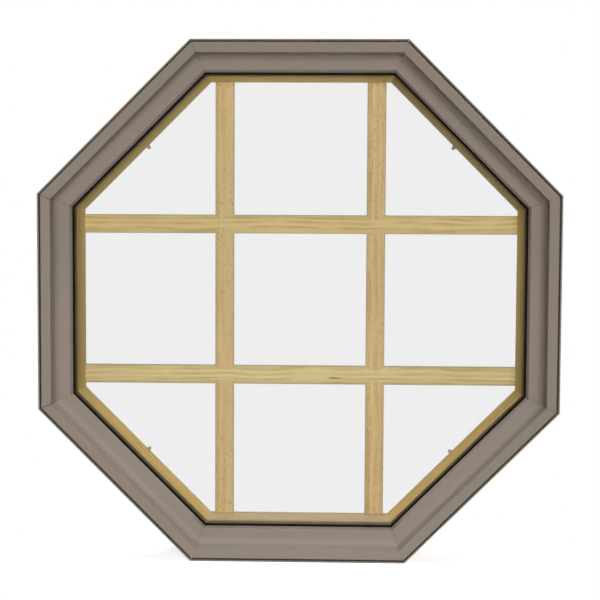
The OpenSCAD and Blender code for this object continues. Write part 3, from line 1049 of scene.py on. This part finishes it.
def turned_piece(name, grid, turns, origins, material):
    """Copies a grid of rings to its places on the frame and joins all copies into one piece."""
    rings, segments = grid.shape[:2]
    points = np.einsum("rsi,cij->crsj", grid, side_axes(turns)) + np.asarray(origins)[:, None, None, :]
    quads, caps = grid_faces(len(turns), rings, segments)
    mesh = bpy.data.meshes.new(name)
    mesh.from_pydata(points.reshape(-1, 3).tolist(), [], quads.tolist() + caps.tolist())
    mesh.polygons.foreach_set("use_smooth", np.ones(len(mesh.polygons), bool))
    mesh.set_sharp_from_angle(angle=SHARP_ANGLE)
    mesh.materials.append(material)
    piece = bpy.data.objects.new(name, mesh)
    scene.collection.objects.link(piece)
    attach(piece, "root")
    print(f"{name}: {len(turns)} copies, {len(mesh.polygons)} faces")
    return piece


print("edges sharper than", round(math.degrees(SHARP_ANGLE)), "degrees stay crisp")

# %% [markdown]
# ## The form of a screw
# Countersunk screws hold the cladding's side leg to the pine. The measured ones are plain, so here the head
# gets its cross recess and the shank its thread. Boolean modifiers would cut them with ragged faces. Both
# are formulas on the same grid instead: the recess pushes points of the head's face in, the thread moves
# points of the shank out and in.

# %% Cross recess and thread
SCREW_SEGMENTS = 48
HEAD_RINGS = 16
THREAD_RINGS = 44
THREAD_PITCH = 0.0013
THREAD_DEPTH = 0.00035
SHANK_R = 0.0015
SCREW_LENGTH = 0.015
TIP_R = 0.0003
CROSS_WIDTH = 0.0009
CROSS_REACH = 0.0019
CROSS_DEPTH = 0.0012
CROSS_EDGE = 0.0003
screw_low, screw_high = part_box("cladding_screws")
HEAD_R = (screw_high.y - screw_low.y) / 2
HEAD_HEIGHT = HEAD_R - SHANK_R


def smooth_fall(value, start, end):
    """1 below start, 0 above end, and between them one less three squares plus two cubes of the share."""
    share = np.clip((value - start) / (end - start), 0, 1)
    return 1 - share * share * (3 - 2 * share)


def cross_recess(radius, angle):
    """Depth of a cross: two bars at right angles, each full in its middle, with sloped sides and ends."""
    x = np.abs(radius * np.cos(angle))
    y = np.abs(radius * np.sin(angle))
    half = CROSS_WIDTH / 2
    across = smooth_fall(np.minimum(x, y), half - CROSS_EDGE, half)
    ends = smooth_fall(np.maximum(x, y), CROSS_REACH / 2, CROSS_REACH)
    return CROSS_DEPTH * across * ends


def screw_grid():
    """From the middle of the head outwards, down its cone, then along the threaded shank to the point. The
    thread is a triangle wave of the height less one pitch for each turn round the axis."""
    angle = np.linspace(0, 2 * np.pi, SCREW_SEGMENTS, endpoint=False)[None, :]
    face_r = np.linspace(TIP_R / 2, HEAD_R, HEAD_RINGS)[:, None]
    face = round_grid(face_r, cross_recess(face_r, angle), angle)
    height = np.linspace(HEAD_HEIGHT, SCREW_LENGTH, THREAD_RINGS)[:, None]
    turn = (height / THREAD_PITCH - angle / (2 * np.pi)) % 1
    cut = THREAD_DEPTH * np.abs(2 * turn - 1) * smooth_fall(-height, -2 * HEAD_HEIGHT, -HEAD_HEIGHT)
    taper = smooth_fall(height, SCREW_LENGTH - 2 * SHANK_R, SCREW_LENGTH)
    shank_r = TIP_R + (SHANK_R - cut - TIP_R) * taper
    return np.concatenate((face, round_grid(shank_r, height, angle)))


screw_form = screw_grid()
print("screw grid:", screw_form.shape[0], "rings of", screw_form.shape[1], "points")

# %% [markdown]
# ## Cladding screws
# Two screws sit on each side of the frame, flush with its outer face. Their places could be typed in, but
# the measured screws know them: the heads on the sill show how far a pair stands from its side's middle.

# %% Screws in place
FLUSH_WITHIN = 0.0003


def mesh_points(node_name):
    """All corners of a measured part as one array."""
    vertices = parts[node_name].data.vertices
    points = np.empty(3 * len(vertices))
    vertices.foreach_get("co", points)
    return points.reshape(-1, 3)


screw_points = mesh_points("cladding_screws")
sill_heads = screw_points[(screw_points[:, 2] < cad_low.z + FLUSH_WITHIN) & (screw_points[:, 0] > 0), 0]
SCREW_ALONG = (sill_heads.min() + sill_heads.max()) / 2
screw_turns = np.repeat(np.arange(SIDE_COUNT), 2)
screw_along = np.tile((-SCREW_ALONG, SCREW_ALONG), SIDE_COUNT)
screw_places = on_frame(screw_turns, RIM_R, screw_along, (screw_low.y + screw_high.y) / 2)
screws = turned_piece("cladding_screws_cut", screw_form, screw_turns, screw_places, finishes["zinc_plate"])
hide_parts("cladding_screws")
print(f"screws {1000 * SCREW_ALONG:.1f} mm from the middle of each side")

# %% [markdown]
# ## Grille pins
# Nylon pins hold the bar ends, so that the grille can be lifted out, and one more stands bare on each
# slanted side. The measured pin has a plain chamfer; a moulded one has a rounded nose. A Bevel modifier
# would round it in an arc, but a quarter of an ellipse gives the longer nose.

# %% Pins with a rounded nose
PIN_SEGMENTS = 28
NOSE_RINGS = 12
NOSE_LENGTH = 0.0036
NOSE_FLAT = 0.12
pin_low, pin_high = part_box("grille_pins")
PIN_R = (pin_high.y - pin_low.y) / 2
# Of all pins only those at the right ends of the rails reach out past half the frame and a bar's distance.
pin_points = mesh_points("grille_pins")
PIN_TIP_R = pin_points[pin_points[:, 0] > pin_high.x / 2 + bar_x, 0].min()
PIN_LENGTH = pin_high.x - PIN_TIP_R


def pin_grid():
    """A straight stem, then the nose: over a quarter turn the radius falls with the cosine and the height
    rises with the sine, down to a small flat."""
    angle = np.linspace(0, 2 * np.pi, PIN_SEGMENTS, endpoint=False)[None, :]
    bend = np.linspace(0, math.acos(NOSE_FLAT), NOSE_RINGS)
    rise = np.sin(bend) / np.sin(bend[-1])
    radius = np.concatenate(([PIN_R], PIN_R * np.cos(bend)))
    height = np.concatenate(([0], PIN_LENGTH - NOSE_LENGTH * (1 - rise)))
    return round_grid(radius[:, None], height[:, None], angle)


upright_turns = np.arange(0, SIDE_COUNT, 2)
pin_turns = np.concatenate((np.repeat(upright_turns, 2), upright_turns + 1))
pin_along = np.concatenate((np.tile((-bar_x, bar_x), len(upright_turns)), np.zeros(len(upright_turns))))
pin_places = on_frame(pin_turns, pin_high.x, pin_along, (pin_low.y + pin_high.y) / 2)
pins = turned_piece("grille_pins_moulded", pin_grid(), pin_turns, pin_places, finishes["nylon"])
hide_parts("grille_pins")
print(f"pins {1000 * PIN_LENGTH:.1f} mm long, tips {1000 * PIN_TIP_R:.1f} mm from the axis")
